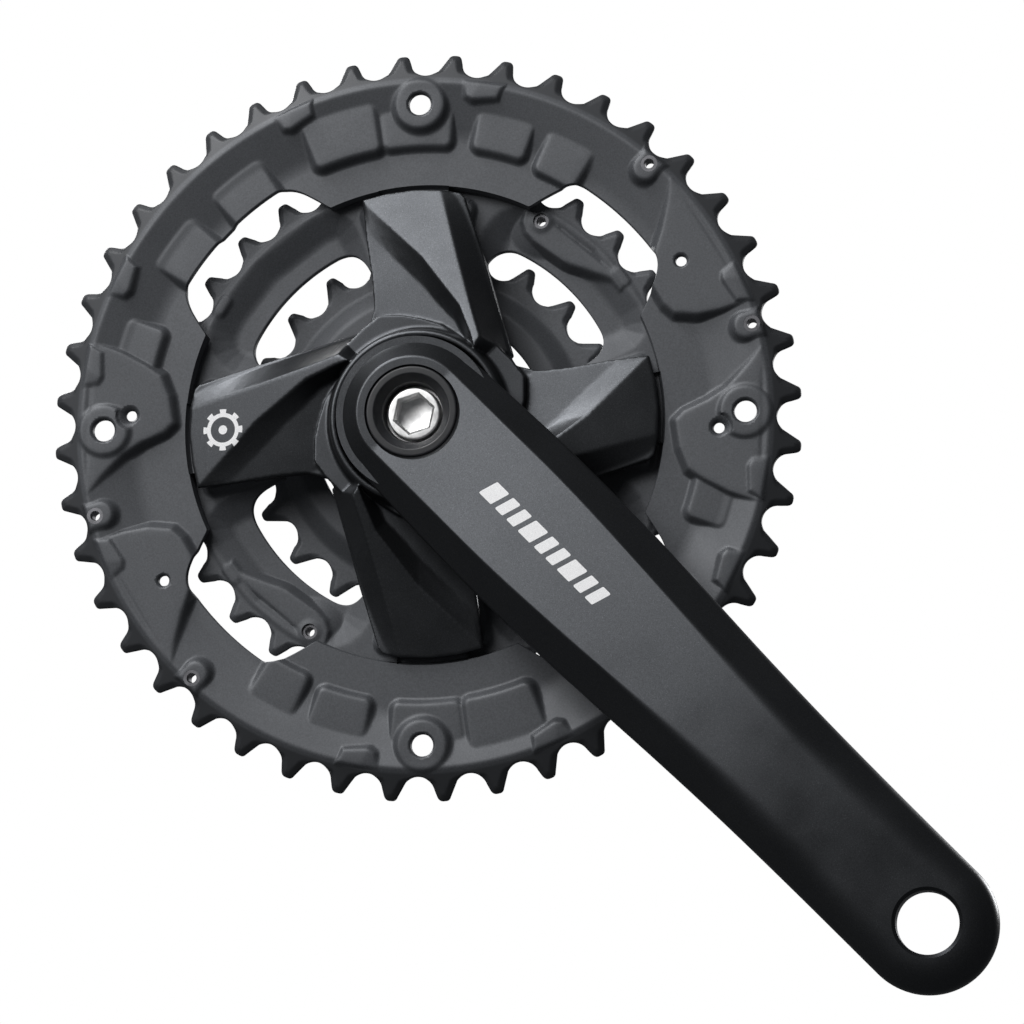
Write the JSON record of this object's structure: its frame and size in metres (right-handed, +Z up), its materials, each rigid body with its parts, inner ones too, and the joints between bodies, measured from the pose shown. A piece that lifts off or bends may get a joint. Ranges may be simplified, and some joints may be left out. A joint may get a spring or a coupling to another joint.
{
  "type": "bicycle crankset",
  "caption": "Drive-side bicycle crank arm with a pinwheel spider, three riveted chainrings of falling size and a captive bolt for a square taper spindle.",
  "frame": {"origin": "on the spindle axis, at the mid-thickness of the large chainring's teeth", "axes": "+Y along the spindle toward the bicycle, -Y outward to the rider's foot, +X forward, +Z up; the crank arm points forward and down at 44.9 degrees at rest"},
  "size_m": [0.2273, 0.048, 0.2267],
  "materials": {
    "arm_paint": "satin charcoal paint with fine metallic fleck",
    "ring_paint": "semi-matte blue-black paint",
    "dark_steel": "dark phosphate steel",
    "bright_steel": "bright zinc steel",
    "black_plastic": "fine matt black"
  },
  "bodies": {
    "crankset": {"crank_arm": "arm_paint", "spider": "arm_paint", "spider_snap_ring": "dark_steel", "large_chainring": "ring_paint", "middle_chainring": "ring_paint", "small_chainring": "ring_paint", "large_ring_rivets": "dark_steel", "middle_ring_rivets": "dark_steel", "small_ring_rivets": "dark_steel", "small_ring_spacers": "dark_steel", "large_ring_shift_pins": "dark_steel", "middle_ring_shift_pins": "dark_steel", "chain_drop_pin": "dark_steel", "retaining_cap": "black_plastic", "slip_washer": "black_plastic"},
    "washer": {"bolt_washer": "bright_steel"},
    "bolt": {"crank_bolt": "bright_steel"}
  },
  "joints": [
    {"name": "bolt_float", "type": "slide", "parent": "crankset", "child": "washer", "axis": [0, -1, 0], "range_m": [0, 0.0006]},
    {"name": "bolt_turn", "type": "hinge", "parent": "washer", "child": "bolt", "pos_m": [0, -0.009, 0], "axis": [0, -1, 0], "continuous": true}
  ]
}
